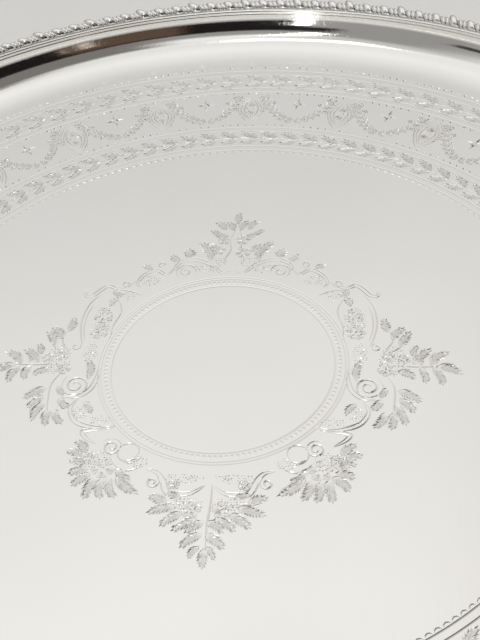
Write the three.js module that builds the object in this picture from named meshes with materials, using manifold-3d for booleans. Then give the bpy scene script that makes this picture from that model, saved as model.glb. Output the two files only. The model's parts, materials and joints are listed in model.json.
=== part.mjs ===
// A round silver salver: a flat engraved field, a quarter-round rise, a border of cast gadroon
// mouldings on a turned flange, and four cast scroll bracket feet.
// Millimetres. +Z is up, the table is z = 0, the centre of the salver is on the Z axis, and +Y is
// the top of the engraved cartouche.
import * as THREE from "three";
import { mergeVertices } from "three/addons/utils/BufferGeometryUtils.js";
import Module from "manifold-3d";

// Driving dimensions
const SALVER_RADIUS = 203.2; // to the tips of the large lobes: a 16 inch salver
const SHEET = 1.4; // thickness of the plate
const FOOT_HEIGHT = 22; // from the table to the underside of the field
const FIELD_RADIUS = 181; // where the flat field ends and the rise begins
const RISE_RADIUS = 13.7; // radius of the quarter-round rise, on its upper face
const RISE_END_DEG = 84; // the rise stops a little short of upright and rolls into the flange
const RIM_HEIGHT = 16.2; // from the field to the crest of the large lobes
const FLANGE_WIDTH = 4.4; // of the flange that the border is soldered to
const SOLDER_GAP = 0.3; // the joint left between soldered pieces

const CASTINGS = 11; // sections of the border
const LOBES_PER_CASTING = 15;
const LARGE_LOBE_EVERY = 3; // every third lobe is larger than its neighbours
const BORDER_INNER_RADIUS = 194.9;
const BORDER_TWIST_DEG = 1.4; // how far round a groove runs from the inner edge to the outer one
const BORDER_START_DEG = -1.5; // where the first casting starts, counter-clockwise from +X

const FEET = 4;
const FOOT_CIRCLE_RADIUS = 160;

// Derived heights
const FIELD_Z = FOOT_HEIGHT + SHEET;
const RISE_END = THREE.MathUtils.degToRad(RISE_END_DEG);
const FLANGE_Z = FIELD_Z + RISE_RADIUS * (1 - Math.cos(RISE_END));
const FLANGE_INNER_RADIUS = FIELD_RADIUS + RISE_RADIUS * Math.sin(RISE_END);
const FLANGE_RADIUS = FLANGE_INNER_RADIUS + FLANGE_WIDTH;

// Facets
const PLATE_SIDES = 96;
const RISE_STEPS = 7;

const silver = (color, roughness) =>
  new THREE.MeshStandardMaterial({ color, roughness, metalness: 1 });

const salver = new THREE.Group();

function addPiece(name, geometry, material) {
  const mesh = new THREE.Mesh(geometry, material);
  mesh.name = name;
  salver.add(mesh);
}

// A body turned about Z from points of radius and height.
function turned(profile, sides) {
  const points = profile.map(([radius, height]) => new THREE.Vector2(radius, height));
  const geometry = new THREE.LatheGeometry(points, sides);
  geometry.rotateX(Math.PI / 2);
  return geometry;
}

// Points on an arc of the plate's section, centred over the start of the rise.
function riseArc(radius, fromAngle, toAngle) {
  const centreZ = FIELD_Z + RISE_RADIUS;
  return Array.from({ length: RISE_STEPS + 1 }, (_, i) => {
    const angle = THREE.MathUtils.lerp(fromAngle, toAngle, i / RISE_STEPS);
    return [FIELD_RADIUS + radius * Math.sin(angle), centreZ - radius * Math.cos(angle)];
  });
}

// The plate: its underside from the centre outwards, round the flange, and back over the top.
const trayProfile = [
  [0, FOOT_HEIGHT],
  ...riseArc(RISE_RADIUS + SHEET, 0, RISE_END - 0.1),
  [FLANGE_INNER_RADIUS + SHEET + 0.4, FLANGE_Z - SHEET],
  [FLANGE_RADIUS, FLANGE_Z - SHEET],
  [FLANGE_RADIUS, FLANGE_Z],
  ...riseArc(RISE_RADIUS, RISE_END, 0),
  [0, FIELD_Z],
];
addPiece("tray_plate", turned(trayProfile, PLATE_SIDES), silver(0xd9d6cf, 0.12));

// The border's section as radius and height. Each point says how much of the lobes' relief
// reaches it: none at the seat, all of it along the crest and the outer edge.
const seatZ = FLANGE_Z + SOLDER_GAP;
const lapRadius = FLANGE_RADIUS + SOLDER_GAP;
const crestZ = FIELD_Z + RIM_HEIGHT;
const FILLET_HEIGHT = 0.8; // of the plain step inside the lobes
const borderSection = [
  { radius: lapRadius, z: seatZ, relief: 0 },
  { radius: BORDER_INNER_RADIUS, z: seatZ, relief: 0 },
  { radius: BORDER_INNER_RADIUS, z: seatZ + FILLET_HEIGHT, relief: 0 },
  { radius: BORDER_INNER_RADIUS + 1.2, z: seatZ + FILLET_HEIGHT, relief: 0 },
  { radius: BORDER_INNER_RADIUS + 2.8, z: crestZ - 0.9, relief: 0.7 },
  { radius: BORDER_INNER_RADIUS + 5, z: crestZ, relief: 1 },
  { radius: SALVER_RADIUS - 0.8, z: crestZ - 1.1, relief: 1 },
  { radius: SALVER_RADIUS, z: seatZ + 0.2, relief: 1 },
  { radius: SALVER_RADIUS - 0.6, z: seatZ - 1.5, relief: 1 },
  { radius: lapRadius, z: seatZ - 1.5, relief: 0 },
];

// One lobe and the pair of narrow reeds beside it: where each ridge and groove lies along the
// lobe's pitch, and how far it is cut back from the full relief.
const lobeStations = [
  { at: 0, cut: 1 },
  { at: 0.3, cut: 0 },
  { at: 0.58, cut: 0.9 },
  { at: 0.79, cut: 0.6 },
];
const GROOVE_DEPTH = 3; // how far a groove is cut back from the outer edge
const GROOVE_DROP = 1.3; // how far a groove lies below the crest
const SMALL_LOBE_CUT = 0.65; // share of the groove's depth that a small lobe stands back
const SMALL_LOBE_DROP = 0.3; // share of the groove's drop that a small lobe lies below

function nearestCorner(radius, z) {
  const distance = (corner) => Math.hypot(corner.radius - radius, corner.z - z);
  return borderSection.reduce((best, corner) => (distance(corner) < distance(best) ? corner : best));
}

// A straight bar of the border's section, bent round the rim with its lobes worked into it.
function borderCasting(index) {
  const stations = lobeStations.length * LOBES_PER_CASTING;
  const shape = new THREE.Shape(borderSection.map(({ radius, z }) => new THREE.Vector2(radius, z)));
  const bar = new THREE.ExtrudeGeometry(shape, { depth: 1, steps: stations, bevelEnabled: false });
  const position = bar.attributes.position;
  const span = (2 * Math.PI) / CASTINGS;
  const endGap = SOLDER_GAP / 2 / BORDER_INNER_RADIUS;
  for (let i = 0; i < position.count; i++) {
    const { radius, z, relief } = nearestCorner(position.getX(i), position.getY(i));
    // The bar's far end comes first round the rim, which keeps its faces pointing out.
    const station = Math.round((1 - position.getZ(i)) * stations);
    const lobe = Math.floor(station / lobeStations.length);
    const { at, cut } = lobeStations[station % lobeStations.length];
    const small = lobe % LARGE_LOBE_EVERY === 0 ? 0 : 1;
    const across = (radius - BORDER_INNER_RADIUS) / (SALVER_RADIUS - BORDER_INNER_RADIUS);
    const twist = THREE.MathUtils.degToRad(BORDER_TWIST_DEG) * across;
    const along = THREE.MathUtils.lerp(endGap, span - endGap, (lobe + at) / LOBES_PER_CASTING);
    const start = THREE.MathUtils.degToRad(BORDER_START_DEG);
    const angle = start + index * span + along + twist;
    const outward = THREE.MathUtils.clamp(across * 1.6 - 0.6, 0, 1);
    const cutBack = GROOVE_DEPTH * relief * THREE.MathUtils.lerp(cut, 1, SMALL_LOBE_CUT * small);
    const drop = GROOVE_DROP * relief * THREE.MathUtils.lerp(cut, 1, SMALL_LOBE_DROP * small);
    const bentRadius = radius - cutBack * outward;
    const bentZ = z > seatZ + FILLET_HEIGHT ? z - drop : z;
    position.setXYZ(i, bentRadius * Math.cos(angle), bentRadius * Math.sin(angle), bentZ);
  }
  return bar;
}

for (let i = 0; i < CASTINGS; i++) {
  const name = "border_casting_" + String(i + 1).padStart(2, "0");
  addPiece(name, borderCasting(i), silver(0xcfcbc2, 0.2));
}

// Feet, each drawn with +X outwards and the table at z = 0.
const wasm = await Module();
wasm.setup();

function toSolid(geometry) {
  geometry.deleteAttribute("normal");
  geometry.deleteAttribute("uv");
  const merged = mergeVertices(geometry, 1e-4);
  return new wasm.Manifold(new wasm.Mesh({
    numProp: 3,
    vertProperties: Float32Array.from(merged.attributes.position.array),
    triVerts: Uint32Array.from(merged.index.array),
  }));
}

function toGeometry(solid) {
  const mesh = solid.getMesh();
  const geometry = new THREE.BufferGeometry();
  geometry.setAttribute("position", new THREE.BufferAttribute(mesh.vertProperties, 3));
  geometry.setIndex(new THREE.BufferAttribute(mesh.triVerts, 1));
  geometry.computeVertexNormals();
  return geometry;
}

const FOOT_TOP_Z = FOOT_HEIGHT - SOLDER_GAP;
const APRON_HALF_WIDTH = 17;
const APRON_HEIGHT = 11;
const APRON_THICKNESS = 3;
const TOE_RADIUS = 3.6;
const TOE_REACH = 6.5; // how far the toe stands out from the foot's centre
const TOE_WIDTH = 10;
const PAD_LENGTH = 9;
const PAD_THICKNESS = 1.2;

// The apron: an ogee bracket that hangs from the plate and narrows to the leg.
function footApron() {
  const outline = new THREE.Shape();
  outline.moveTo(-APRON_HALF_WIDTH, FOOT_TOP_Z);
  outline.lineTo(-APRON_HALF_WIDTH, FOOT_TOP_Z - 1.6);
  outline.quadraticCurveTo(-12, FOOT_TOP_Z - 2.6, -9.5, FOOT_TOP_Z - 5.5);
  outline.quadraticCurveTo(-6.5, FOOT_TOP_Z - 9, -3, FOOT_TOP_Z - APRON_HEIGHT);
  outline.lineTo(3, FOOT_TOP_Z - APRON_HEIGHT);
  outline.quadraticCurveTo(6.5, FOOT_TOP_Z - 9, 9.5, FOOT_TOP_Z - 5.5);
  outline.quadraticCurveTo(12, FOOT_TOP_Z - 2.6, APRON_HALF_WIDTH, FOOT_TOP_Z - 1.6);
  outline.lineTo(APRON_HALF_WIDTH, FOOT_TOP_Z);
  outline.closePath();
  const settings = { depth: APRON_THICKNESS, curveSegments: 4, bevelEnabled: false };
  const geometry = new THREE.ExtrudeGeometry(outline, settings);
  geometry.rotateX(Math.PI / 2);
  geometry.rotateZ(Math.PI / 2);
  geometry.translate(-APRON_THICKNESS / 2 + 1, 0, 0);
  return geometry;
}

// The leg: an S-curve that swells out under the plate and sweeps out again to the toe.
function footLeg() {
  const path = new THREE.CatmullRomCurve3([
    new THREE.Vector3(2, 0, FOOT_TOP_Z - 2.2),
    new THREE.Vector3(4, 0, FOOT_TOP_Z - 5.5),
    new THREE.Vector3(2.6, 0, FOOT_TOP_Z - 11),
    new THREE.Vector3(1.4, 0, TOE_RADIUS + 2),
    new THREE.Vector3(TOE_REACH - 2, 0, TOE_RADIUS - 0.6),
  ]);
  const section = new THREE.Shape();
  section.absellipse(0, 0, 3.4, 2.6, 0, 2 * Math.PI);
  const settings = { steps: 12, curveSegments: 6, bevelEnabled: false, extrudePath: path };
  return new THREE.ExtrudeGeometry(section, settings);
}

// The toe: a small volute lying across the foot, with a flat pad under it.
function footToe() {
  const geometry = new THREE.CylinderGeometry(TOE_RADIUS, TOE_RADIUS, TOE_WIDTH, 18);
  geometry.translate(TOE_REACH, 0, TOE_RADIUS + 0.2);
  return geometry;
}

function footPad() {
  const geometry = new THREE.CylinderGeometry(PAD_LENGTH / 2 - 0.5, PAD_LENGTH / 2, PAD_THICKNESS, 18);
  geometry.rotateX(Math.PI / 2);
  geometry.translate(TOE_REACH - 1, 0, PAD_THICKNESS / 2);
  return geometry;
}

const footParts = [footApron(), footLeg(), footToe(), footPad()];
const footSolid = footParts.map(toSolid).reduce((whole, part) => whole.add(part));

for (let i = 0; i < FEET; i++) {
  const geometry = toGeometry(footSolid);
  geometry.translate(FOOT_CIRCLE_RADIUS, 0, 0);
  geometry.rotateZ(Math.PI / FEET + (i * 2 * Math.PI) / FEET);
  addPiece("foot_" + (i + 1), geometry, silver(0xc9c5bb, 0.25));
}

export default salver;
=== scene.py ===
"""A round silver salver with a bright-cut engraved field, a cast gadroon border and four scroll feet.

Shapes are worked out in millimetres in the CAD frame and handed to Blender in metres.
"""
import json
import math
import random

import bmesh
import bpy
from mathutils import Matrix, Vector
from mathutils.geometry import delaunay_2d_cdt


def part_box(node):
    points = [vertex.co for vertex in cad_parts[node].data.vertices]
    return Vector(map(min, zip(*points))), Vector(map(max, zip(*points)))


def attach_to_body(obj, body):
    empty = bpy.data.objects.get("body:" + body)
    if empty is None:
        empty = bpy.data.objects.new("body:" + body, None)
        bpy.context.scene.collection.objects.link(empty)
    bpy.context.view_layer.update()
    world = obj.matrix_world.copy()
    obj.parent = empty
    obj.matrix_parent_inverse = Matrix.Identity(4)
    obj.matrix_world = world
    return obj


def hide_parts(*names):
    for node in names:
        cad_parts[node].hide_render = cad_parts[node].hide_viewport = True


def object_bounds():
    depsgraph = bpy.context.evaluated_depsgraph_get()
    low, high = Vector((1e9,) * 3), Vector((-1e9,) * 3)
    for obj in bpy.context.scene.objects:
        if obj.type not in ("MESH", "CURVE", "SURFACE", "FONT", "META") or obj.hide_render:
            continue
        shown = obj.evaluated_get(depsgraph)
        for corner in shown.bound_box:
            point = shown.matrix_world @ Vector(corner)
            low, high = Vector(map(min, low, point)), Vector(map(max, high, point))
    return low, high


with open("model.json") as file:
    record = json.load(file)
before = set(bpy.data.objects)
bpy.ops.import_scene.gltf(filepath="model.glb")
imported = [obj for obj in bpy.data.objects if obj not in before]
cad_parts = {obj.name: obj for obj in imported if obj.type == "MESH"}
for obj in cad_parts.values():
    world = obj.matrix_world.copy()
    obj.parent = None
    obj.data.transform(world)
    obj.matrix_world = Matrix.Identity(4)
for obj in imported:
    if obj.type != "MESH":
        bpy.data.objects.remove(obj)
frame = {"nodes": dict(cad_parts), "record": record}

CAD_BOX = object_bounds()
MM = 0.001
TAU = 2 * math.pi


def mounts_named(word):
    """Positions, in millimetres, of the record's mounts with this word in their names."""
    found = [m for m in frame["record"]["mounts"] if word in m["name"]]
    return [Vector(m["pos_m"]) / MM for m in found]


TRAY_LOW, TRAY_HIGH = (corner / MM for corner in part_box("tray_plate"))
SALVER_LOW, SALVER_HIGH = (corner / MM for corner in CAD_BOX)
CASTINGS = sorted(name for name in frame["nodes"] if name.startswith("border_casting"))
FEET = sorted(name for name in frame["nodes"] if name.startswith("foot"))

FIELD_Z = mounts_named("serving_field")[0].z
UNDER_Z = TRAY_LOW.z
FLANGE_Z = TRAY_HIGH.z
FLANGE_RADIUS = TRAY_HIGH.x
SALVER_RADIUS = max(SALVER_HIGH.x, -SALVER_LOW.x)
CREST_Z = SALVER_HIGH.z
SHEET = FIELD_Z - UNDER_Z
FIELD_RADIUS = 181.0
RISE_RADIUS = 13.7
RISE_END = math.radians(84)
SOLDER_GAP = 0.3
WELD = 0.0008  # points nearer than this are one point

random.seed(7)


# ---------------------------------------------------------------- mesh building


def put_in_scene(name, data):
    thing = bpy.data.objects.new(name, data)
    bpy.context.scene.collection.objects.link(thing)
    return thing


class Skin:
    """The points and faces of one mesh, in millimetres, gathered part by part."""

    def __init__(self):
        self.points = []
        self.cuts = []
        self.faces = []
        self.smooth = []

    def add(self, points, cuts=None):
        """Adds points. A cut of 1 marks the bottom of a recess, which the material darkens as tarnished
        silver and painted shade.
        """
        first = len(self.points)
        self.points.extend(points)
        self.cuts.extend(cuts or [0.0] * len(points))
        return first

    def face(self, corners, smooth):
        self.faces.append(corners)
        self.smooth.append(smooth)

    def ring(self, radius, z, count):
        """A ring of points, as (angle, point number) in order of angle."""
        angles = [TAU * i / count for i in range(count)]
        first = self.add([(radius * math.cos(a), radius * math.sin(a), z) for a in angles])
        return [(a, first + i) for i, a in enumerate(angles)]

    def turn(self, ring, profile, smooth=True):
        """Carries a ring on through points of radius and height, as a lathe would."""
        for radius, z in profile:
            following = self.ring(radius, z, len(ring))
            for i in range(len(ring)):
                j = (i + 1) % len(ring)
                self.face((ring[i][1], following[i][1], following[j][1], ring[j][1]), smooth)
            ring = following
        return ring

    def fan(self, ring, z, upward):
        """Closes a ring onto a point on the axis."""
        centre = self.add([(0.0, 0.0, z)])
        for i in range(len(ring)):
            a, b = ring[i][1], ring[(i + 1) % len(ring)][1]
            self.face((centre, a, b) if upward else (centre, b, a), True)

    def loft(self, sections):
        """Joins closed sections with the same number of points, and closes both ends."""
        rows = [self.add(section) for section in sections]
        count = len(sections[0])
        for first, following in zip(rows, rows[1:]):
            for i in range(count):
                j = (i + 1) % count
                self.face((first + i, first + j, following + j, following + i), True)
        self.face(tuple(reversed(range(rows[0], rows[0] + count))), False)
        self.face(tuple(range(rows[-1], rows[-1] + count)), False)

    def build(self, name):
        mesh = bpy.data.meshes.new(name)
        scaled = [(x * MM, y * MM, z * MM) for x, y, z in self.points]
        mesh.from_pydata(scaled, [], self.faces)
        mesh.polygons.foreach_set("use_smooth", self.smooth)
        mesh.attributes.new("cut", "FLOAT", "POINT").data.foreach_set("value", self.cuts)
        work = bmesh.new()
        work.from_mesh(mesh)
        bmesh.ops.remove_doubles(work, verts=work.verts, dist=WELD * MM)
        bmesh.ops.dissolve_degenerate(work, edges=work.edges, dist=WELD / 2 * MM)
        work.to_mesh(mesh)
        work.free()
        return put_in_scene(name, mesh)


# ---------------------------------------------------------------- drawing

BED_CELL = 3.0  # points are sorted into squares of this size, to find those inside a bed


def curve(points, steps=4):
    """A smooth line through a few points, as a Catmull-Rom spline."""
    ends = [points[0], *points, points[-1]]
    line = []
    for i in range(len(points) - 1):
        p0, p1, p2, p3 = (Vector(p) for p in ends[i : i + 4])
        for k in range(steps):
            t = k / steps
            a = 2 * p1 + (p2 - p0) * t + (2 * p0 - 5 * p1 + 4 * p2 - p3) * t * t
            line.append(tuple((a + (3 * p1 - p0 - 3 * p2 + p3) * t**3) / 2))
    return [*line, tuple(points[-1])]


def arc(x, y, radius, start, end, steps=10):
    """Points on an arc, with its angles in degrees."""
    angles = [math.radians(start + (end - start) * i / steps) for i in range(steps + 1)]
    return [(x + radius * math.cos(a), y + radius * math.sin(a)) for a in angles]


def spiral(x, y, outer, inner, start, turns, steps=20):
    """Points on a spiral from its outer end in, with its start in degrees."""
    line = []
    for i in range(steps + 1):
        t = i / steps
        radius = outer + (inner - outer) * t
        a = math.radians(start) + TAU * turns * t
        line.append((x + radius * math.cos(a), y + radius * math.sin(a)))
    return line


class Plan:
    """A flat area to be engraved: its points, how deep each lies and how much darkening it takes, as
    tarnished silver and painted shade.
    """

    def __init__(self):
        self.points = []
        self.depths = []
        self.tones = []
        self.lines = []
        self.beds = []

    def point(self, place_, depth=0.0, tone=0.0):
        self.points.append(tuple(place_))
        self.depths.append(depth)
        self.tones.append(tone)
        return len(self.points) - 1

    def line(self, numbers, closed=False):
        self.lines.extend(zip(numbers, numbers[1:]))
        if closed:
            self.lines.append((numbers[-1], numbers[0]))

    def loop(self, points, depth=0.0, tone=0.0):
        numbers = [self.point(p, depth, tone) for p in points]
        self.line(numbers, closed=True)
        return numbers

    def bed(self, edge, floor, depth, tone):
        """An area cut back to a matt floor: its bright bevelled edge, and the line where that ends."""
        self.loop(edge)
        self.loop(floor, depth, tone)
        self.beds.append(([Vector(p) for p in floor], depth, tone))

    def groove(self, path, width, slope=0.45, swell=0.5, tone=0.35):
        """One V-shaped cut along a path, fine at both ends and widest at the share swell along it.

        slope is the walls' steepness, and tone is how much the bottom is darkened, as tarnished silver and
        painted shade."""
        path = [Vector(p) for p in path]
        last = len(path) - 1
        left, bottom, right = [], [], []
        for i in range(1, last):
            along = (path[i + 1] - path[i - 1]).normalized()
            across = Vector((-along.y, along.x))
            t = i / last
            t = t / swell * 0.5 if t < swell else 1 - (1 - t) / (1 - swell) * 0.5
            half = 0.5 * width * math.sin(math.pi * t) ** 0.6
            left.append(self.point(path[i] + across * half))
            right.append(self.point(path[i] - across * half))
            bottom.append(self.point(path[i], half * slope, tone))
        tip, tail = self.point(path[0]), self.point(path[-1])
        for side in (left, bottom, right):
            self.line([tip, *side, tail])

    def nick(self, start, end, width, slope=0.6, tone=0.5):
        """A short cut, widest near its start, as one push of the graver leaves."""
        a, b = Vector(start), Vector(end)
        self.groove([a, a.lerp(b, 0.35), b], width, slope, swell=0.35, tone=tone)

    def punch(self, x, y, radius, depth, sides=3, tone=0.0):
        """A faceted punch mark, or a raised bead where the depth is negative."""
        turn = random.uniform(0, TAU)
        rim = [(x + radius * math.cos(turn + TAU * k / sides), y + radius * math.sin(turn + TAU * k / sides))
               for k in range(sides)]
        middle = self.point((x + random.uniform(-0.2, 0.2) * radius, y + random.uniform(-0.2, 0.2) * radius),
                            depth, tone)
        self.lines.extend((number, middle) for number in self.loop(rim))

    def carve(self):
        """The engraved area as (points, depths, tones, triangles, where each drawn point went)."""
        flat = [Vector(p) for p in self.points]
        points, edges, faces, olds, old_edges, _ = delaunay_2d_cdt(flat, self.lines, [], 1, 1e-5, True)
        deepest = [max(old, key=lambda k: self.depths[k], default=None) for old in olds]
        depths = [0.0 if k is None else self.depths[k] for k in deepest]
        tones = [0.0 if k is None else self.tones[k] for k in deepest]
        for edge, sources in zip(edges, old_edges):
            for v in edge:
                if olds[v]:
                    continue
                for k in sources:
                    a, b = self.lines[k]
                    t = (points[v] - flat[a]).length / ((flat[b] - flat[a]).length or 1.0)
                    depths[v] = max(depths[v], self.depths[a] * (1 - t) + self.depths[b] * t)
                    tones[v] = max(tones[v], self.tones[a] * (1 - t) + self.tones[b] * t)
        cells = {}
        for v, p in enumerate(points):
            cells.setdefault((int(p.x // BED_CELL), int(p.y // BED_CELL)), []).append(v)
        for floor, depth, tone in self.beds:
            xs, ys = [p.x for p in floor], [p.y for p in floor]
            for i in range(int(min(xs) // BED_CELL), int(max(xs) // BED_CELL) + 1):
                for j in range(int(min(ys) // BED_CELL), int(max(ys) // BED_CELL) + 1):
                    for v in cells.get((i, j), ()):
                        if depths[v] < depth and within(points[v], floor):
                            depths[v], tones[v] = depth, max(tones[v], tone)
        went = {k: v for v, old in enumerate(olds) for k in old}
        return points, depths, tones, [tuple(face) for face in faces], went


def within(p, edge):
    """Whether a point lies inside a closed line."""
    inside = False
    for a, b in zip(edge, edge[1:] + edge[:1]):
        if (a.y > p.y) != (b.y > p.y) and p.x < a.x + (p.y - a.y) / (b.y - a.y) * (b.x - a.x):
            inside = not inside
    return inside


# ---------------------------------------------------------------- the engraving

PLATE_SIDES = 360
PLATE_ANGLES = [TAU * i / PLATE_SIDES for i in range(PLATE_SIDES)]
FIELD_EDGE = 173.0
EASE_END = math.radians(16)  # the slope at which the rise turns from its gentle start to an arc
EASE_STEPS = 12
BROAD = 2.1  # how much wider than its nominal width a flowing line is cut


def around(radius, angle):
    """A place on a band: u runs round the rim and v outwards, both in millimetres."""
    def put(u, v):
        a = angle + u / radius
        return (radius + v) * math.cos(a), (radius + v) * math.sin(a)
    return put


def shifted(amount):
    return random.uniform(-amount, amount)


def circle(radius):
    return [(radius * math.cos(a), radius * math.sin(a)) for a in PLATE_ANGLES]


def ring_cut(plan, radius, width, slope, tone):
    """A turned line, round the whole field."""
    for r, d, t in ((radius - width / 2, 0.0, 0.0), (radius - width * 0.1, width * slope / 2, tone),
                    (radius + width / 2, 0.0, 0.0)):
        plan.loop(circle(r), d, t)


def leaf(plan, put, base, tip, width, bend=0.12, lobes=5, hatch=3, tone=0.16, deep=0.13):
    """A leaf cut back to a matt floor, with bright bevelled teeth round it, a midrib and side veins."""
    a, b = Vector(base), Vector(tip)
    along = b - a
    across = Vector((-along.y, along.x)).normalized()

    def at(t, offset):
        spine = a + along * t + across * (bend * along.length * math.sin(math.pi * min(1.0, t)))
        p = spine + across * offset
        return put(p.x, p.y)

    def half(t):
        return 0.5 * width * math.sin(math.pi * min(1.0, t) ** 0.85) ** 0.7

    sides = {}
    for side in (-1, 1):
        edge, floor = [], []
        for k in range(lobes):
            t = 0.1 + 0.82 * (k + 0.75) / lobes
            notch = 0.1 + 0.82 * (k + 1) / lobes
            edge.append(at(t + 0.05, side * (half(t) * 1.16 + 0.22 + shifted(0.06))))
            edge.append(at(notch - 0.035, side * (half(notch) * 0.72 + 0.12)))
            floor.append(at(t - 0.02, side * max(0.1, half(t) - 0.16)))
            floor.append(at(notch - 0.07, side * max(0.08, half(notch) * 0.72 - 0.18)))
        sides[side] = edge, floor
    edge = [at(0, 0), *sides[1][0], at(1.04, 0), *reversed(sides[-1][0])]
    floor = [at(0.1, 0), *sides[1][1], at(0.92, 0), *reversed(sides[-1][1])]
    plan.bed(edge, floor, deep, tone)
    rib = [plan.point(at(0.1 + 0.68 * k / 4, 0), deep + 0.09 * math.sin(math.pi * (0.25 + 0.15 * k)), 0.5)
           for k in range(1, 5)]
    plan.line(rib)
    for side in (-1, 1):
        for k in range(hatch):
            t = 0.24 + 0.56 * (k + 0.5) / hatch
            start = at(t - 0.04, side * half(t) * 0.12)
            end = at(t + 0.1, side * max(0.1, half(t) * 0.8 - 0.12))
            plan.line([plan.point(start, deep + 0.06, 0.5), plan.point(end, deep + 0.09, 0.5)])


def flower(plan, put, x, y, radius, petals=5, tone=0.1):
    """An open flower: petals cut back a little, each with bright edges and a vein, and a punched heart."""
    turn = random.uniform(0, TAU)
    wide = math.pi / petals
    for k in range(petals):
        a = turn + TAU * k / petals

        def at(r, side):
            turned = a + side * wide
            return put(x + radius * r * math.cos(turned), y + radius * r * math.sin(turned))

        edge = [at(0.24, 0), at(0.5, 0.8), at(0.82, 0.93), at(1.06, 0.6), at(1.02, 0.12), at(1.1, -0.2),
                at(1.06, -0.6), at(0.82, -0.93), at(0.5, -0.8)]
        floor = [at(0.36, 0), at(0.56, 0.52), at(0.78, 0.68), at(0.93, 0.4), at(0.9, 0.05), at(0.95, -0.3),
                 at(0.78, -0.68), at(0.56, -0.52)]
        plan.bed(edge, floor, 0.1, tone)
        plan.line([plan.point(at(0.4, 0), 0.16, 0.9), plan.point(at(0.78, 0.05), 0.12, 0.7)])
    heart = put(x, y)
    plan.punch(heart[0], heart[1], radius * 0.24, -0.16, 6)


def trace(plan, put, points, width, steps=4, tone=0.12):
    """A flowing line, cut broad and shallow."""
    plan.groove([put(u, v) for u, v in curve(points, steps)], width * BROAD, slope=0.32, tone=tone)


def double(plan, put, points, gap, width, steps=4):
    """A scroll's stem: two lines that part along its middle and meet at its ends."""
    line = [Vector(p) for p in curve(points, steps)]
    last = len(line) - 1
    for side in (-1, 1):
        path = []
        for i, p in enumerate(line):
            ahead = (line[min(i + 1, last)] - line[max(i - 1, 0)]).normalized()
            off = side * 0.5 * gap * math.sin(math.pi * i / last) ** 0.7
            path.append(put(p.x - ahead.y * off, p.y + ahead.x * off))
        plan.groove(path, width, slope=0.34, tone=0.12)


def stipple(plan, put, centre, size, spacing, radius, depth):
    """Punch marks scattered over an oval, which sparkle."""
    rows = int(2 * size[1] / spacing)
    for j in range(rows + 1):
        v = -size[1] + j * spacing
        reach = size[0] * math.sqrt(max(0.0, 1 - (v / size[1]) ** 2))
        u = -reach + (j % 2) * spacing / 2
        while u <= reach:
            p = put(centre[0] + u + shifted(spacing * 0.2), centre[1] + v + shifted(spacing * 0.2))
            plan.punch(p[0], p[1], radius * random.uniform(0.75, 1.2), depth)
            u += spacing


def leaf_band(plan, radius, height, count):
    """Pairs of leaves that point the same way round, with punched ground between them."""
    pitch = TAU * radius / count
    for k in range(count):
        put = around(radius, TAU * k / count)
        for side in (1, -1):
            tip = 0.42 * pitch + shifted(0.15), side * height * 0.45
            # The outer leaf of each pair is given much more of the recess darkening than the inner one.
            leaf(plan, put, (-0.52 * pitch, side * 0.2), tip, height * 0.4, side * 0.06,
                 lobes=5, hatch=4, tone=0.42 if side > 0 else 0.08, deep=0.15)
        for step in range(5):
            x, y = put(pitch * (0.16 + 0.16 * step) + shifted(0.1), shifted(0.25 + 0.2 * step))
            plan.punch(x, y, 0.3, 0.13)
        plan.nick(put(0.5 * pitch, 0.0), put(-0.12 * pitch, 0.0), 0.7, slope=0.5, tone=0.2)


def dots(plan, radius, count, size, depth):
    for k in range(count):
        x, y = around(radius, TAU * (k + 0.5) / count)(0, 0)
        plan.punch(x, y, size, depth, 5, 0.4)


def star(plan, put, x, y, high, wide, short):
    """Eight bright cuts about a point."""
    for k in range(8):
        a = math.pi * k / 4
        reach = (high, short, wide, short)[k % 4]
        u, v = math.sin(a), math.cos(a)
        width = 0.9 if k % 2 else 1.35
        plan.nick(put(x + u * 0.3, y + v * 0.3), put(x + u * reach, y + v * reach), width, 0.5, 1.0)


def diamond(plan, put, x, y, size):
    """Four small cuts set in a lozenge."""
    for u, v in ((1, 0), (-1, 0), (0, 1), (0, -1)):
        start, end = put(x + u * size * 0.2, y + v * size * 0.2), put(x + u * size, y + v * size)
        plan.nick(start, end, size * 0.85, 0.5, 1.0)


def medallion(plan, put):
    """A pointed oval with a hatched border and a palmette at each end of its almond."""
    rim = [(0, 10.2), (1.6, 8.2), (3.6, 4.9), (5.1, 1.4), (5.2, -1.2), (3.9, -4.6), (1.9, -7.9), (0, -10.2)]
    for scale, width in ((1.0, 0.42), (0.8, 0.34)):
        for side in (-1, 1):
            trace(plan, put, [(side * u * scale, v * scale) for u, v in rim], width, 3, 0.6)
    for side in (-1, 1):
        for k in range(11):
            v = 7.4 - 1.48 * k
            u = 5.25 * math.sqrt(max(0.0, 1 - (abs(v) / 10.2) ** 1.7))
            plan.nick(put(side * u * 0.96, v), put(side * u * 0.84, v - 0.5), 0.5, 0.5, 0.9)
    almond = [(0, 7.6), (1.7, 4.4), (2.8, 0.6), (2.6, -1.4), (1.6, -4.6), (0, -7.4)]
    for side in (-1, 1):
        trace(plan, put, [(side * u, v) for u, v in almond], 0.36, 3, 0.7)
    for end in (1, -1):
        for k in range(-2, 3):
            u = 0.62 * k
            plan.nick(put(u * 0.3, end * 1.2), put(u * 1.7, end * (6.2 - abs(k) * 1.25)), 0.62, 0.5, 1.0)
    for side in (-1, 1):
        plan.nick(put(side * 0.7, 0.2), put(side * 2.4, 0.2), 0.9, slope=0.5)


BAYS = 24
HALF_BAY = math.radians(180 / BAYS)
FESTOON_RADIUS = 141.2


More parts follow.
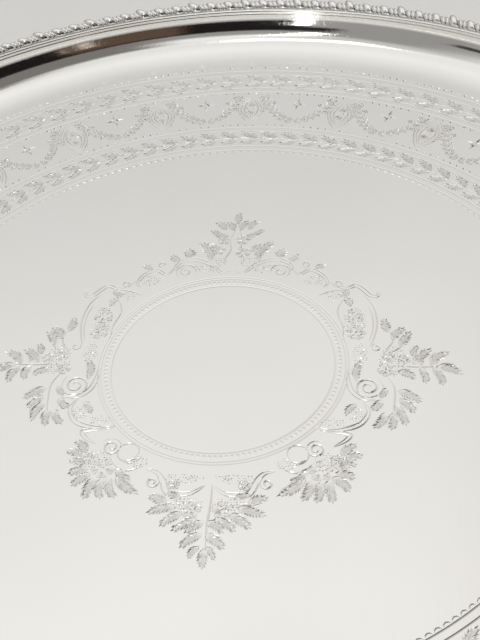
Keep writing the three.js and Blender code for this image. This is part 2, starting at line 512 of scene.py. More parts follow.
def festoon(plan, angle):
    """One bay of the garland: a medallion, the swag to the next one, and its stars and lozenges."""
    middle = around(FESTOON_RADIUS, angle)
    medallion(plan, middle)
    centre = around(FESTOON_RADIUS, angle + HALF_BAY)
    reach = HALF_BAY * FESTOON_RADIUS
    for side in (-1, 1):
        stem = [(side * (reach - 4.6), 8.4), (side * (reach - 6.4), 3.4), (side * (reach - 9.6), -2.0),
                (side * (reach - 13.5), -6.0), (0, -8.4)]
        line = [Vector(p) for p in curve(stem, 2)]
        last = len(line) - 1
        for i in range(last):
            ahead = (line[i + 1] - line[i]).normalized()
            across = Vector((-ahead.y, ahead.x))
            spread = 1.3 + 0.9 * math.sin(math.pi * (0.15 + 0.75 * i / last))
            for turn in (-1, 1):
                tip = line[i] + across * turn * spread - ahead * (0.6 + shifted(0.2))
                base = line[i] + ahead * 2.0 + across * turn * 0.1
                leaf(plan, centre, base, tip, 1.8, turn * 0.1, lobes=3, hatch=2, tone=0.35, deep=0.14)
    star(plan, centre, 0, 3.9, 4.6, 3.5, 1.9)
    for u, v in ((6.45, 7.8), (9.3, 4.1), (5.9, -0.2)):
        for side in (-1, 1):
            diamond(plan, middle, side * u, v, 1.2)


SCALLOPS, SCALLOP_RADIUS = 240, 112.6
# The lines between the bands, as radius and width.
BAND_LINES = ((113.4, 0.7), (116.0, 0.7), (125.6, 0.7), (128.3, 0.7), (153.0, 0.8), (156.0, 0.8),
              (165.6, 0.7), (168.6, 0.8))
LEAF_PAIRS = 96


def bands(plan):
    """Everything that runs round the field, from the edge of the plain centre outwards."""
    for k in range(SCALLOPS):
        put = around(SCALLOP_RADIUS, TAU * k / SCALLOPS)
        plan.groove([put(-1.35, 0.5), put(-0.8, -0.3), put(0, -0.62), put(0.8, -0.3), put(1.35, 0.5)], 0.5)
    for radius, width in BAND_LINES:
        ring_cut(plan, radius, width, 0.34, 0.8)
    leaf_band(plan, 121.2, 8.0, LEAF_PAIRS)
    leaf_band(plan, 160.9, 8.4, LEAF_PAIRS)
    dots(plan, 129.8, 276, 0.62, 0.26)
    dots(plan, 151.9, 312, 0.72, 0.32)
    dots(plan, 171.0, 360, 0.8, 0.32)
    for k in range(BAYS):
        festoon(plan, math.radians(90 + 360 / BAYS * k))


LEAF_TOOTH = 0.95  # the pitch of the teeth along a leaf

# The middle and the half width and height of each stippled ground in the cartouche's right half.
STIPPLED_GROUNDS = (
    ((5.4, 48.2), (3.0, 2.6)), ((28.6, 38.6), (3.6, 2.4)), ((35.0, 31.4), (2.6, 2.2)),
    ((44.2, 4.6), (2.4, 4.6)), ((54.6, 1.4), (4.4, 6.4)), ((43.4, -21.4), (2.6, 2.8)),
    ((36.0, -24.2), (3.4, 1.8)), ((22.4, -40.2), (3.0, 2.4)), ((8.6, -46.0), (4.8, 2.2)),
    ((6.2, -55.0), (5.0, 2.6)), ((34.4, -39.4), (4.0, 3.6)), ((4.0, -45.5), (2.5, 1.2)),
)


def leaves(plan, put, rows):
    """Leaves given by the place of the base, the place of the tip and the width."""
    for x0, y0, x1, y1, width in rows:
        length = math.hypot(x1 - x0, y1 - y0)
        x0, y0 = x0 - 0.08 * (x1 - x0), y0 - 0.08 * (y1 - y0)
        x1, y1 = x1 + 0.04 * (x1 - x0) + shifted(0.3), y1 + 0.04 * (y1 - y0) + shifted(0.3)
        teeth = round(length / LEAF_TOOTH)
        leaf(plan, put, (x0, y0), (x1, y1), width * 1.16, 0.08 + shifted(0.06),
             lobes=max(4, teeth), hatch=max(3, teeth))


def head_of_cartouche(plan, put):
    """The spray at the head of the cartouche, over two spread scrolls."""
    leaves(plan, put, [(4.2, 66.0, 7.6, 70.2, 2.6), (3.0, 59.5, 8.2, 63.8, 2.8),
                       (9.2, 53.2, 12.9, 59.0, 3.0), (8.0, 50.2, 10.2, 56.8, 2.6),
                       (1.2, 65.5, 3.6, 70.6, 2.3), (5.5, 54.0, 9.6, 57.4, 2.4),
                       (6.6, 62.0, 9.6, 65.6, 2.0)])
    trace(plan, put, [(3, 46.5), (3.4, 50), (1.6, 55), (2.2, 60), (0.6, 66)], 0.34)
    trace(plan, put, [(8.6, 48.5), (9.6, 52), (9.2, 56)], 0.3)
    double(plan, put, [(0.4, 44), (4, 43.2), (8, 47.2), (14, 49.8), (18.5, 48.5), (20.6, 45.6),
                       (19.4, 43)], 1.3, 0.62)
    double(plan, put, [(20.6, 45.8), (23, 42), (27, 44.3), (31, 42), (33, 38), (31.6, 35.4)], 1.2, 0.6)
    trace(plan, put, arc(16.5, 43.6, 3.4, 200, -60, 12), 0.34, 1)
    trace(plan, put, spiral(16.5, 43.6, 2.3, 0.5, 90, -1.3), 0.34, 1)
    stipple(plan, put, (10.2, 45.0), (4.6, 2.0), 0.8, 0.34, 0.2)
    trace(plan, put, spiral(25.2, 47.2, 1.7, 0.4, 220, 1.2), 0.34, 1)
    leaf(plan, put, (15.5, 50.2), (17.5, 55.6), 4.2, 0.04, lobes=4, hatch=3)
    leaf(plan, put, (19.2, 48.6), (22.5, 52.4), 2.6, -0.1, lobes=4, hatch=2)
    leaf(plan, put, (28.6, 44.6), (32.4, 46.6), 2.4, 0.1, lobes=4, hatch=2)
    for centre, size in STIPPLED_GROUNDS:
        stipple(plan, put, centre, size, 0.9, 0.32, 0.14)


def shoulder(plan, put):
    """The shoulder: thin scrolls round a stippled panel with two flowers."""
    trace(plan, put, spiral(36.6, 37.4, 1.9, 0.4, 180, 1.3), 0.34, 1)
    double(plan, put, [(33.4, 38.4), (36.5, 36), (40, 35.2), (43, 36.4), (45.6, 34), (47.6, 31.6),
                       (49.8, 31.2), (50.4, 32.6), (49.2, 33.4)], 1.3, 0.62)
    trace(plan, put, [(30, 31.5), (33, 33), (36, 34), (40, 34.2)], 0.32)
    trace(plan, put, [(45, 31.8), (47.4, 28.8), (48.9, 25), (49.6, 20), (49.4, 16), (48.2, 10.5),
                      (47, 7.8)], 0.4)
    trace(plan, put, [(46.6, 27), (48.1, 22), (48.2, 15.5), (46.8, 9.6)], 0.3)
    leaf(plan, put, (40.6, 34.6), (36.5, 31.2), 2.6, 0.14, lobes=4, hatch=2)
    stipple(plan, put, (42.4, 18.5), (3.4, 7.2), 0.86, 0.36, 0.22)
    flower(plan, put, 42.2, 21.6, 3.4)
    flower(plan, put, 42.8, 14.2, 3.2)
    trace(plan, put, [(38.6, 30), (36.6, 24), (38.4, 17), (38.6, 10)], 0.34)
    leaf(plan, put, (41, 26), (38.6, 31), 2.4, -0.1, lobes=4, hatch=2)


def side_spray(plan, put):
    """The spray at the side, with its flowers where the stems part."""
    leaves(plan, put, [(53, 14.5, 52.3, 20.6, 2.6), (54.5, 11, 58.6, 16.2, 2.7), (57, 8, 60.2, 14.5, 2.6),
                       (60.5, 4, 62.2, 8.4, 2.0), (61, 0.5, 66.6, 6.6, 2.9), (66.5, 0, 72.2, 5.4, 2.9),
                       (68, -1, 76.0, -4.0, 3.0), (63, -1.4, 64.2, -7.4, 2.4),
                       (67, -1.2, 69.4, -8.4, 2.6), (56, -3, 61.6, -5.4, 2.5), (52, -10, 50, -14.0, 2.0),
                       (50.6, -15, 47.4, -19.0, 2.5), (51.6, -20, 48.2, -25.6, 2.6),
                       (55, -17, 57.8, -24.6, 2.7), (56, -11, 62.6, -15.2, 2.9),
                       (56.2, -14.5, 60.4, -19.4, 2.6), (53.6, -20, 53.4, -26.6, 2.5),
                       (63.5, 0.2, 62.8, 5.2, 2.0)])
    trace(plan, put, [(50.5, -1.5), (56, -0.6), (62, -0.8), (68, -0.8), (73, -2.4)], 0.36)
    trace(plan, put, [(51.6, 1), (52.4, 6), (54.6, 10.4), (53.4, 15)], 0.34)
    trace(plan, put, [(52.6, 4), (56.8, 7.4), (58.4, 10)], 0.3)
    trace(plan, put, [(52, -4), (54.6, -9), (54.6, -15), (53.8, -21)], 0.36)
    flower(plan, put, 52.2, -2.2, 2.7)
    flower(plan, put, 53.4, 3.4, 2.3)
    flower(plan, put, 58.0, 2.2, 2.0)
    trace(plan, put, spiral(49.4, 7.4, 1.8, 0.4, 100, 1.2), 0.32, 1)


def spirals(plan, put):
    """The large spirals below the side spray."""
    trace(plan, put, spiral(46.6, -9.6, 4.9, 0.6, 60, -2.2, 34), 0.42, 1)
    double(plan, put, [(40.4, -1.5), (40.2, -6), (41.5, -11), (45, -14.4), (49.4, -14.6)], 1.4, 0.62)
    leaf(plan, put, (42.9, -7.4), (44.6, 2.2), 2.6, 0.1, lobes=6, hatch=5)
    double(plan, put, [(44.6, -15), (46.6, -19.4), (44.6, -24), (40, -26.4), (34, -27.2),
                       (30.6, -25.6)], 1.4, 0.62)
    leaf(plan, put, (43, -16.4), (39.6, -21.4), 2.4, -0.12, lobes=4, hatch=3)


def diagonal_spray(plan, put):
    """The spray on the lower diagonal."""
    double(plan, put, [(33, -27.4), (38, -27.8), (41, -28.6), (39.6, -31), (36, -33.4)], 1.3, 0.6)
    trace(plan, put, spiral(31, -34.4, 3.5, 0.5, 30, 2.0, 30), 0.38, 1)
    flower(plan, put, 32.6, -42.4, 3.7)
    flower(plan, put, 37.6, -38.6, 2.4)
    leaves(plan, put, [(38.5, -36.5, 42.4, -32.0, 2.6), (39.8, -38, 44.4, -36.0, 2.5),
                       (37, -41.4, 43.0, -39.4, 2.5), (37, -43, 42.4, -44.8, 2.7),
                       (36, -44.6, 41.0, -49.2, 2.8), (34.4, -46, 36.2, -53.6, 2.8),
                       (32, -46.4, 31.6, -53.4, 2.6), (30, -46, 27.4, -52.8, 2.7),
                       (27.6, -44.4, 20.6, -51.4, 2.9), (28.2, -42.6, 23.6, -46.4, 2.3)])
    trace(plan, put, [(20, -41), (24.6, -43.2), (28, -42), (30, -40)], 0.36)
    trace(plan, put, [(22, -38.4), (25.6, -39.6), (28.4, -38.2)], 0.3)
    trace(plan, put, spiral(25.2, -36.2, 4.4, 2.6, 200, 1.1, 24), 0.3, 1)


def foot_of_cartouche(plan, put):
    """The spray at the foot of the cartouche, under two hooked scrolls."""
    trace(plan, put, spiral(16.9, -47.3, 2.2, 0.4, 120, 1.5, 24), 0.4, 1)
    double(plan, put, [(19.4, -42.6), (16, -43.6), (14, -46.4), (12.4, -50.4), (10, -51.4), (5, -51),
                       (1, -48)], 1.8, 0.66)
    leaves(plan, put, [(0.6, -65, 5.9, -69.6, 2.7), (0.4, -61, 5.6, -64.6, 2.6),
                       (2.6, -60, 9.0, -64.0, 2.6), (12, -54.6, 17.2, -52.0, 2.7),
                       (8, -53, 12.4, -51.4, 2.0), (9, -56, 17.2, -58.2, 2.9), (7, -58, 12.8, -62.4, 2.7),
                       (1.0, -69.2, 3.6, -73.0, 1.8)])
    trace(plan, put, [(2.4, -58), (7, -55.4), (12, -54.4)], 0.34)
    flower(plan, put, 4.6, -56.6, 3.0)
    flower(plan, put, 10.4, -48.0, 1.8)


def sprays(plan):
    """The leaf sprays and scrolls about the plain centre, drawn for one side and turned over."""
    for flip in (1, -1):
        def put(u, v, flip=flip):
            return flip * u, v

        head_of_cartouche(plan, put)
        shoulder(plan, put)
        side_spray(plan, put)
        spirals(plan, put)
        diagonal_spray(plan, put)
        foot_of_cartouche(plan, put)

    def straight(u, v):
        return u, v

    leaf(plan, straight, (0, 68.6), (0.1, 75.6), 2.6, 0.03, lobes=6, hatch=5)
    leaf(plan, straight, (0.7, -69.4), (0.6, -76.4), 2.8, -0.03, lobes=6, hatch=5)
    trace(plan, straight, [(0.9, -47.6), (1.1, -54), (0.7, -62), (0.9, -70)], 0.4)
    for x, y, radius in ((2.4, 60.2, 2.4), (-4.2, 60.0, 2.3), (2.8, 53.6, 2.7), (-5.8, 54.8, 2.4)):
        flower(plan, straight, x, y, radius)


CENTRE_LINES = ((36.3, 0.9), (39.6, 0.7), (40.6, 0.7))
BEADS, BEAD_RING_RADIUS = 138, 37.8


def engrave(plan):
    """The whole of the engraving: the bead ring and its lines, the cartouche, and the bands."""
    for radius, width in CENTRE_LINES:
        ring_cut(plan, radius, width, 0.16, 0.1)
    for k in range(BEADS):
        x, y = around(BEAD_RING_RADIUS, TAU * k / BEADS)(0, 0)
        plan.punch(x, y, 0.74, -0.12, 6)
    sprays(plan)
    bands(plan)


# ---------------------------------------------------------------- the plate


def rise_arc(radius, start, end, steps):
    """Points of radius and height on the arc of the rise, from one angle to another."""
    angles = [start + (end - start) * i / steps for i in range(1, steps + 1)]
    centre = FIELD_Z + RISE_RADIUS
    return [(FIELD_RADIUS + radius * math.sin(a), centre - radius * math.cos(a)) for a in angles]


def top_of_rise(steps):
    """The upper face of the rise: it leaves the field at a slight slope and tightens into an arc."""
    slopes = [EASE_END * ((i + 0.5) / EASE_STEPS) ** 1.5 for i in range(EASE_STEPS)]
    across, up = (sum(map(f, slopes)) / EASE_STEPS for f in (math.cos, math.sin))
    arc_across = math.sin(RISE_END) - math.sin(EASE_END)
    arc_up = math.cos(EASE_END) - math.cos(RISE_END)
    width = FIELD_RADIUS + RISE_RADIUS * math.sin(RISE_END) - FIELD_EDGE
    height = FLANGE_Z - FIELD_Z
    share = across * arc_up - up * arc_across
    ease = (width * arc_up - height * arc_across) / share
    arc_radius = (height * across - width * up) / share
    radius, z, profile = FIELD_EDGE, FIELD_Z, []
    for slope in slopes:
        radius += math.cos(slope) * ease / EASE_STEPS
        z += math.sin(slope) * ease / EASE_STEPS
        profile.append((radius, z))
    for i in range(1, steps + 1):
        slope = EASE_END + (RISE_END - EASE_END) * i / steps
        profile.append((radius + arc_radius * (math.sin(slope) - math.sin(EASE_END)),
                        z + arc_radius * (math.cos(EASE_END) - math.cos(slope))))
    return profile


def engraved_field():
    plan = Plan()
    edge = plan.loop(circle(FIELD_EDGE))
    engrave(plan)
    points, depths, tones, faces, went = plan.carve()
    return [(p.x, p.y, FIELD_Z - d) for p, d in zip(points, depths)], tones, faces, [went[k] for k in edge]


def tray_plate():
    """The sheet: engraved field, quarter-round rise, flange, and the plain underside."""
    skin = Skin()
    points, tones, faces, edge = engraved_field()
    skin.add(points, tones)
    for face in faces:
        skin.face(face, False)
    ring = list(zip(PLATE_ANGLES, edge))
    top = top_of_rise(26)
    inner = top[-1][0]
    lip = [(inner + 0.15, FLANGE_Z - 0.02), (inner + 0.4, FLANGE_Z), (FLANGE_RADIUS - 0.2, FLANGE_Z)]
    turned_edge = [(FLANGE_RADIUS, FLANGE_Z - 0.2), (FLANGE_RADIUS, FLANGE_Z - SHEET + 0.2),
                   (FLANGE_RADIUS - 0.2, FLANGE_Z - SHEET), (inner + SHEET + 0.4, FLANGE_Z - SHEET)]
    under = rise_arc(RISE_RADIUS + SHEET, RISE_END - 0.1, 0, 18)
    rings_below = [(r, UNDER_Z) for r in (170, 150, 120, 90, 60, 30, 10)]
    ring = skin.turn(ring, top + lip + turned_edge + under + rings_below)
    skin.fan(ring, UNDER_Z, upward=False)
    return skin.build("engraved_tray")


# ---------------------------------------------------------------- the border

SEAT_Z = FLANGE_Z + SOLDER_GAP
LAP_RADIUS = FLANGE_RADIUS + SOLDER_GAP
BORDER_INNER = 194.8
LOBES = 15  # in each casting
LARGE_EVERY = 3
TWIST = math.radians(1.4)
BORDER_START = math.radians(-1.5)
SECTION_RADIUS = 199.8  # the middle of the gadrooned face
INNER_REACH = 3.4
NOSE_Z = 0.75  # height of the lobes' inner ends above the seat
OUTER_REACH = SALVER_RADIUS - SECTION_RADIUS
CREST = CREST_Z - SEAT_Z

# Where the ribs of a lobe end, as shares of its pitch.
BULB_END = 0.54
REED_ENDS = (0.77, 1.0)
# How tall a rib stands along the crest and how far out it reaches, as shares of a large bulb's.
LARGE_BULB = (1.0, 1.0)
SMALL_BULB = (0.84, 0.46)
REED = (0.55, 0.14)
BULB_STEPS = 9
REED_STEPS = 4

# Where the section of the gadrooned face has its points, in degrees about its middle: the inner
# edge is at 180, the crest at 90 and the outer edge at 0.
FACE_DEGREES = (180, 176, 171, 165, 158, 150, 140, 128, 115, 102, 90.1, 78, 66, 54, 42, 30, 18, 6, -8, -25)
# The rounded fillet inside it: how far out from the inner edge and how far above the seat it passes.
FILLET = ((0.04, 0.3), (0.12, 0.65), (0.3, 0.88), (0.6, 0.98), (1.1, 0.98), (1.35, 0.8))
CLEARANCE = 0.03  # between a casting's feather edges and the flange
END_GAP = 0.04  # cut back at each end of a casting, at its inner edge


def rib_at(t, large):
    """The rib at this share of the pitch: place across it from -1 to 1, crest and reach."""
    if t < BULB_END:
        return 2 * t / BULB_END - 1, *(LARGE_BULB if large else SMALL_BULB)
    start, end = (BULB_END, REED_ENDS[0]) if t < REED_ENDS[0] else REED_ENDS
    return 2 * (t - start) / (end - start) - 1, *REED


def border_point(t, theta, large):
    """A point of the gadrooned face as radius, height and how deep in a groove it lies."""
    x, crest, reach = rib_at(t, large)
    outward = max(0.0, math.cos(theta))
    top = crest + (reach - crest) * outward
    swell = math.sqrt(max(0.0, 1 - abs(x) ** 2.2))
    run = (math.pi - theta) / math.radians(40)
    bend = 1 - math.sqrt(max(0.0, 1 - x * x))
    rise = max(0.0, min(1.0, run - bend * 0.6))
    stand = top * swell * math.sqrt(1 - (1 - rise) ** 2)
    if theta > math.pi / 2:
        floor, reach_here, base = INNER_REACH - 0.5, INNER_REACH, NOSE_Z
    else:
        floor, reach_here, base = 0.5, OUTER_REACH, NOSE_Z * math.sin(max(0.0, theta))
    wide = floor + (reach_here - floor) * stand
    high = (CREST - base) * (0.4 + 0.6 * stand)
    z = SEAT_Z + base + max(0.0, math.sin(theta)) * high + 1.5 * min(0.0, math.sin(theta))
    return SECTION_RADIUS + wide * math.cos(theta), z, 1 - stand / top


def border_casting(index, name):
    """Fifteen lobes of the gadroon border, each a bulb and two reeds, every third bulb a large one."""
    skin = Skin()
    steps = []
    for start, end, count in ((0.0, BULB_END, BULB_STEPS), (BULB_END, REED_ENDS[0], REED_STEPS),
                              (*REED_ENDS, REED_STEPS)):
        steps += [start + (end - start) * (0.5 - 0.5 * math.cos(math.pi * i / count)) for i in range(count)]
    thetas = [math.radians(a) for a in FACE_DEGREES]
    fillet = [(BORDER_INNER, FLANGE_Z + CLEARANCE)]
    fillet += [(BORDER_INNER + out, SEAT_Z + up) for out, up in FILLET]
    under = [(LAP_RADIUS + 0.3, SEAT_Z - 1.5), (LAP_RADIUS, SEAT_Z - 1.2)]
    under += [(LAP_RADIUS, FLANGE_Z + CLEARANCE)]
    span = TAU / len(CASTINGS)
    gap = END_GAP / BORDER_INNER
    rows = []
    for station in range(LOBES * len(steps) + 1):
        lobe, k = divmod(station, len(steps))
        along = gap + (span - 2 * gap) * (lobe + steps[k]) / LOBES
        section = [(r, z, 0.0) for r, z in fillet]
        section += [border_point(steps[k], theta, lobe % LARGE_EVERY == 0) for theta in thetas]
        section += [(r, z, 0.0) for r, z in under]
        row = []
        for r, z, _ in section:
            across = (r - BORDER_INNER) / (SALVER_RADIUS - BORDER_INNER)
            angle = BORDER_START + index * span + along + TWIST * across
            row.append((r * math.cos(angle), r * math.sin(angle), z))
        # How deep in a groove each point lies darkens it in the material: tarnished silver and painted shade
        # between the ribs.
        rows.append(skin.add(row, [deep for _, _, deep in section]))
    count = len(section)
    for first, following in zip(rows, rows[1:]):
        for i in range(count):
            j = (i + 1) % count
            skin.face((first + i, following + i, following + j, first + j), True)
    skin.face(tuple(range(rows[0], rows[0] + count)), False)
    skin.face(tuple(reversed(range(rows[-1], rows[-1] + count))), False)
    return skin.build(name)


# ---------------------------------------------------------------- the feet

FOOT_CIRCLE = 160.0
ANKLE_Z = 3.4
TOE_OUT, TOE_Z = 6.5, 3.8  # the axis of the volute
TOE_SIDES = 24
PAD_OUT = 5.5
PAD_SIDES = 32
LEG_SIDES = 28


def foot(node, name):
    """A scroll bracket foot: an apron under the plate, an S-shaped leg, a volute toe and a pad."""
    low, high = (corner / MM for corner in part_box(node))
    middle = (low + high) / 2
    turn = math.atan2(middle.y, middle.x)
    out = Vector((math.cos(turn), math.sin(turn), 0))
    side = Vector((-out.y, out.x, 0))
    top = high.z
    base = out * FOOT_CIRCLE

    def at(x, y, z):
        return tuple(base + out * x + side * y + Vector((0, 0, z)))

    skin = Skin()

    # The apron and leg are one form: wide and thin at the top, narrow and deep at the leg.
    spine = curve([(1.0, top), (1.2, top - 2.5), (2.2, top - 6.0), (2.4, top - 10.5), (1.4, top - 14.0),
                   (2.6, top - 17.0), (5.2, ANKLE_Z)], 7)
    sections = []
    for x, z in spine:
        drop = (top - z) / (top - ANKLE_Z)
        half = 3.1 + 13.6 * (1 - min(1, drop / 0.55)) ** 1.9 + 1.6 * max(0, drop - 0.6)
        deep = 1.3 + 1.3 * min(1, drop / 0.5)
        row = []
        for i in range(LEG_SIDES):
            a = TAU * i / LEG_SIDES
            ca, sa = math.cos(a), math.sin(a)
            y = half * math.copysign(abs(sa) ** 0.8, sa)
            rib = 0.45 * math.exp(-((y / 1.3) ** 2)) * max(0.0, ca)
            flute = 0.35 * math.cos(y * 1.6) * max(0.0, ca) * (1 - min(1, drop * 1.5))
            row.append(at(x + (deep + rib + flute) * math.copysign(abs(ca) ** 0.8, ca), y, z))
        sections.append(row)
    skin.loft(sections)
    # The toe: a volute lying across the foot.
    toe = []
    for y in (-5, -4.7, -3.9, -3.3, -2.9, 0, 2.9, 3.3, 3.9, 4.7, 5):
        edge = abs(y) / 5
        radius = 3.6 if 0.6 < edge < 0.95 else 3.0 if edge < 0.6 else 2.6
        turns = [TAU * i / TOE_SIDES for i in range(TOE_SIDES)]
        toe.append([at(TOE_OUT + radius * math.sin(a), y, TOE_Z + radius * math.cos(a)) for a in turns])
    skin.loft(toe)
    pad = []
    for z, radius in ((0, 4.2), (0.25, 4.5), (0.9, 4.5), (1.2, 4.1)):
        turns = [TAU * i / PAD_SIDES for i in range(PAD_SIDES)]
        pad.append([at(PAD_OUT + radius * math.cos(a), radius * math.sin(a), z) for a in turns])
    skin.loft(pad)
    return skin.build(name)


# ---------------------------------------------------------------- materials


class Nodes:
    """Short calls for the shader nodes that the materials share."""

    def __init__(self, tree):
        self.tree = tree

    def new(self, kind, **values):
        node = self.tree.nodes.new("ShaderNode" + kind)
        for key, value in values.items():
            setattr(node, key, value)
        return node

    def feed(self, socket, value):
        if isinstance(value, bpy.types.NodeSocket):
            self.tree.links.new(value, socket)
        else:
            socket.default_value = value

    def math(self, operation, *inputs, clamp=False):
        node = self.new("Math", operation=operation, use_clamp=clamp)
        for socket, value in zip(node.inputs, inputs):
            self.feed(socket, value)
        return node.outputs[0]

    def ease(self, value, low, high):
        """0 at low, 1 at high, smoothly between."""
        node = self.new("MapRange", interpolation_type="SMOOTHSTEP")
        self.feed(node.inputs["Value"], value)
        node.inputs["From Min"].default_value = low
        node.inputs["From Max"].default_value = high
        return node.outputs["Result"]

    def mix(self, share, a, b):
        node = self.new("Mix", data_type="RGBA")
        self.feed(node.inputs["Factor"], share)
        self.feed(node.inputs["A"], a)
        self.feed(node.inputs["B"], b)
        return node.outputs["Result"]

    def noise(self, place_, scale, detail=3.0, stretch=None, turn=0.0):
        if stretch:
            mapping = self.new("Mapping")
            self.feed(mapping.inputs["Vector"], place_)
            mapping.inputs["Scale"].default_value = stretch
            mapping.inputs["Rotation"].default_value = (0, 0, turn)
            place_ = mapping.outputs["Vector"]
        node = self.new("TexNoise")
        self.feed(node.inputs["Vector"], place_)
        node.inputs["Scale"].default_value = scale
        node.inputs["Detail"].default_value = detail
        return node.outputs["Fac"]


def new_material(name):
    """A material as (itself, its nodes, its shader, the place in the piece's own frame)."""
    material = bpy.data.materials.new(name)
    material.use_nodes = True
    nodes = Nodes(material.node_tree)
    shader = material.node_tree.nodes["Principled BSDF"]
    return material, nodes, shader, nodes.new("TexCoord").outputs["Object"]


def silver(name, bright, worn, tarnish_and_shade, roughness, scratch, waves, matt_ring=None):
    """Polished sterling: cleaning scratches, soft warm patches, and the recesses darkened, as tarnished
    silver and painted shade together.

    matt_ring is the inner and outer radius, in metres, of a ring whose ground is finely hatched."""
    material, nodes, shader, place_ = new_material(name)
    shader.inputs["Metallic"].default_value = 1.0
    patches = nodes.ease(nodes.noise(place_, 14, 4), 0.35, 0.75)
    scratches = None
    for k, turn in enumerate((0.3, 1.25, 2.1, 2.8)):
        lines = nodes.noise(place_, 900 + 70 * k, 2, (1, 0.035, 1), turn)
        fine = nodes.ease(lines, 0.60, 0.72)
        scratches = fine if scratches is None else nodes.math("MAXIMUM", scratches, fine)
    # Painted shade: the recesses, given by the cut attribute, are darkened towards the recess colour, which
    # stands for tarnished silver and the shade in the cuts together.
    cut = nodes.new("Attribute", attribute_name="cut").outputs["Fac"]
    hold = nodes.math("MULTIPLY_ADD", nodes.noise(place_, 120, 2), 0.6, 0.6)
    deep = nodes.math("MULTIPLY", cut, hold, clamp=True)
    colour = nodes.mix(deep, nodes.mix(patches, bright, worn), tarnish_and_shade)
    nodes.feed(shader.inputs["Base Color"], colour)
    haze = nodes.noise(place_, 60, 3)
    rough = nodes.math("MULTIPLY_ADD", haze, roughness * 0.5, roughness * 0.7)
    rough = nodes.math("MULTIPLY_ADD", scratches, roughness * 0.5, rough)
    rough = nodes.math("MULTIPLY_ADD", deep, 0.12, rough)
    if matt_ring:
        parts = nodes.new("SeparateXYZ")
        nodes.feed(parts.inputs[0], place_)
        squares = [nodes.math("MULTIPLY", part, part) for part in parts.outputs[:2]]
        radius = nodes.math("SQRT", nodes.math("ADD", *squares))
        inside = nodes.math("MULTIPLY", nodes.ease(radius, matt_ring[0] - 0.001, matt_ring[0] + 0.001),
                            nodes.ease(radius, matt_ring[1] + 0.001, matt_ring[1] - 0.001))
        rough = nodes.math("MULTIPLY_ADD", inside, 0.05, rough)
    nodes.feed(shader.inputs["Roughness"], rough)
    ripple = nodes.noise(place_, 22, 1)
    bump = nodes.new("Bump")
    bump.inputs["Strength"].default_value = 1.0
    bump.inputs["Distance"].default_value = 1.0
    height = nodes.math("MULTIPLY", scratches, -scratch)
    height = nodes.math("MULTIPLY_ADD", ripple, waves, height)
    nodes.feed(bump.inputs["Height"], height)
    nodes.feed(shader.inputs["Normal"], bump.outputs["Normal"])
    return material


def paper(name):
    material, nodes, shader, place_ = new_material(name)
    grain = nodes.noise(place_, 40, 4)
    nodes.feed(shader.inputs["Base Color"], nodes.mix(grain, (0.80, 0.79, 0.77, 1), (0.84, 0.83, 0.81, 1)))
    shader.inputs["Roughness"].default_value = 0.9
    return material


# ---------------------------------------------------------------- camera and light


# Lengths here are in metres but for the lens, which is in millimetres, and angles are in degrees.
LENS = 63.42
AIM = (0.0042, 0.0197)
CAMERA_DIRECTION = (-81.8, 45.13)
CAMERA_ROLL = -5.72
CAMERA_DISTANCE = 0.3763


def towards(azimuth, elevation):
    """The direction at an azimuth and elevation, seen from the middle of the tray."""
    a, e = math.radians(azimuth), math.radians(elevation)
    return Vector((math.cos(e) * math.cos(a), math.cos(e) * math.sin(a), math.sin(e)))


def set_camera():
    data = bpy.data.cameras.new("camera")
    data.lens = LENS
    data.clip_start = 0.01
    camera = put_in_scene("camera", data)
    aim = Vector((*AIM, FIELD_Z * MM))
    back = towards(*CAMERA_DIRECTION)
    right = Vector((0, 0, 1)).cross(back).normalized()
    up = back.cross(right)
    axes = Matrix((right, up, back)).transposed() @ Matrix.Rotation(math.radians(CAMERA_ROLL), 3, "Z")
    camera.matrix_world = Matrix.Translation(aim + back * CAMERA_DISTANCE) @ axes.to_4x4()
    bpy.context.scene.camera = camera


# The room about the tray, one patch over another: its span of azimuth and of elevation, how soft its
# sides and its top and bottom are, all in degrees, and its colour.
ROOM = (
    ((20, 176), (-20, 19), 20, 6, (0.22, 0.215, 0.21, 1)),
    ((10, 72), (30, 78), 16, 12, (0.70, 0.675, 0.635, 1)),
    ((-165, -117), (58, 84), 14, 6, (0.56, 0.555, 0.54, 1)),
    ((-150, -20), (4, 62), 18, 5, (0.30, 0.295, 0.29, 1)),
    ((-72, 40), (38, 79), 9, 5, (0.19, 0.18, 0.175, 1)),
    ((-105, -15), (9, 46), 2, 2.5, (0.012, 0.010, 0.010, 1)),
    ((-113, -103), (32, 47), 2, 3, (0.02, 0.018, 0.018, 1)),
    ((-80, -56), (10, 42), 2, 3, (0.10, 0.066, 0.047, 1)),
    ((-62.2, -59.6), (10, 32), 0.3, 1, (0.60, 0.50, 0.43, 1)),
    ((-56.6, -56.0), (12, 32), 0.2, 1, (0.50, 0.40, 0.34, 1)),
    ((-152, -134.5), (21, 31), 0.6, 1.5, (0.05, 0.05, 0.05, 1)),
)


FLOOR_LEVEL, ZENITH_LEVEL = 0.68, 0.78
# How bright the wall is between them, at elevations in degrees.
WALL_LEVELS = ((20, 0.6), (33, 0.62), (45, 0.765), (59, 0.885), (70, 0.85))
BACKDROP = (0.71, 0.70, 0.67, 1)  # what the camera itself sees past the floor
FIRST_REFLECTION = 2.5  # the Ray Depth that a first reflection stays under in the world


def grey(level):
    return level, level, level, 1


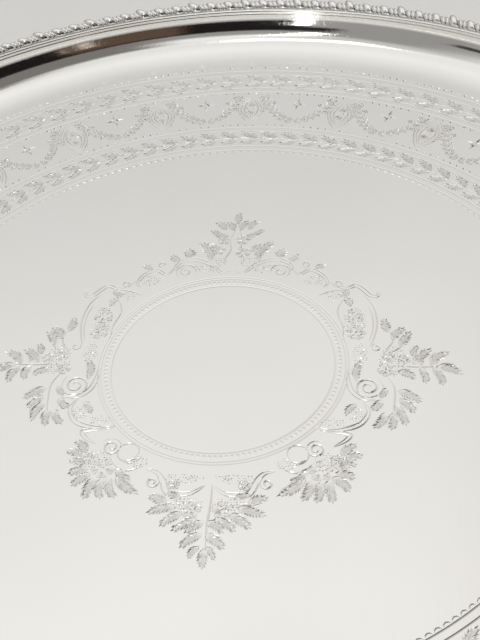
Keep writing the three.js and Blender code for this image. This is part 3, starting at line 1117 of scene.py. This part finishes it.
def set_world():
    """A pale studio: bright in front of the tray, dark where the room lies behind the viewer."""
    world = bpy.data.worlds.new("studio")
    bpy.context.scene.world = world
    world.use_nodes = True
    nodes = Nodes(world.node_tree)
    background = world.node_tree.nodes["Background"]
    direction = nodes.new("SeparateXYZ")
    nodes.feed(direction.inputs[0], nodes.new("TexCoord").outputs["Generated"])
    x, y, z = direction.outputs
    round_ = nodes.math("DEGREES", nodes.math("ARCTAN2", y, x))
    height = nodes.math("DEGREES", nodes.math("ARCSINE", z))
    ramp = nodes.new("ValToRGB")
    nodes.feed(ramp.inputs[0], nodes.math("DIVIDE", height, 90))
    stops = ramp.color_ramp.elements
    stops[0].position, stops[0].color = 0.0, grey(FLOOR_LEVEL)
    stops[1].position, stops[1].color = 1.0, grey(ZENITH_LEVEL)
    for elevation, level in WALL_LEVELS:
        stops.new(elevation / 90).color = grey(level)

    def panel(azimuths, heights, soft_side, soft_edge):
        """1 inside a span of azimuth and height in degrees, 0 outside it."""
        middle, half = sum(azimuths) / 2, (azimuths[1] - azimuths[0]) / 2
        away = nodes.math("ABSOLUTE", nodes.math("SUBTRACT", round_, middle))
        inside = nodes.ease(away, half + soft_side, half - soft_side)
        over = nodes.ease(height, heights[0] - soft_edge, heights[0] + soft_edge)
        under = nodes.ease(height, heights[1] + soft_edge, heights[1] - soft_edge)
        return nodes.math("MULTIPLY", inside, nodes.math("MULTIPLY", over, under))

    # Only a first reflection shows the patches: the silver's reflections of itself stay bright.
    path = nodes.new("LightPath")
    direct = nodes.math("LESS_THAN", path.outputs["Ray Depth"], FIRST_REFLECTION)
    room = ramp.outputs[0]
    for azimuths, heights, soft_side, soft_edge, colour in ROOM:
        share = nodes.math("MULTIPLY", panel(azimuths, heights, soft_side, soft_edge), direct)
        room = nodes.mix(share, room, colour)
    seen = path.outputs["Is Camera Ray"]
    nodes.feed(background.inputs["Color"], nodes.mix(seen, room, BACKDROP))


def area_light(name, direction, distance, width, length, power):
    """A flat light at an azimuth and elevation, facing the middle of the tray."""
    data = bpy.data.lights.new(name, "AREA")
    data.shape = "RECTANGLE"
    data.size, data.size_y = width, length
    data.energy = power
    light = put_in_scene(name, data)
    back = towards(*direction)
    light.location = back * distance
    light.rotation_euler = back.to_track_quat("Z", "Y").to_euler()
    return light


def set_floor():
    work = bmesh.new()
    bmesh.ops.create_circle(work, cap_ends=True, segments=96, radius=4.0)
    mesh = bpy.data.meshes.new("floor")
    work.to_mesh(mesh)
    work.free()
    floor = put_in_scene("floor", mesh)
    floor.data.materials.append(paper("pale_paper"))


# ---------------------------------------------------------------- putting it together


def attach(piece, node, material):
    piece.data.materials.append(material)
    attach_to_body(piece, "root")
    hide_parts(node)


set_camera()
set_world()
set_floor()
area_light("overhead_strip", (-115, 65), 1.6, 0.08, 0.42, 0.35)
tall_strip = area_light("tall_strip", (-104.5, 15), 2.5, 0.12, 1.3, 1.6)
tall_strip.visible_diffuse = False
area_light("softbox", (180, 82), 1.8, 0.32, 0.32, 0.3)
fill = area_light("fill", (60, 70), 3.0, 3.0, 3.0, 34)
fill.visible_glossy = False
bpy.context.scene.view_settings.view_transform = "Standard"

# The colour of the recesses: tarnished silver and painted shade together.
TARNISH_AND_SHADE = (0.58, 0.56, 0.54, 1)
plate_silver = silver("plate_silver", (0.97, 0.955, 0.915, 1), (0.95, 0.93, 0.885, 1), TARNISH_AND_SHADE,
                      roughness=0.08, scratch=3e-6, waves=3e-5, matt_ring=(0.113, 0.1715))
border_silver = silver("border_silver", (0.96, 0.95, 0.92, 1), (0.93, 0.91, 0.87, 1), TARNISH_AND_SHADE,
                       roughness=0.12, scratch=4e-6, waves=0.0)
foot_silver = silver("foot_silver", (0.95, 0.93, 0.88, 1), (0.86, 0.81, 0.73, 1), TARNISH_AND_SHADE,
                     roughness=0.18, scratch=6e-6, waves=0.0)

attach(tray_plate(), "tray_plate", plate_silver)
for index, node in enumerate(CASTINGS):
    attach(border_casting(index, "gadroon_" + node[-2:]), node, border_silver)
for node in FEET:
    attach(foot(node, "scroll_" + node), node, foot_silver)
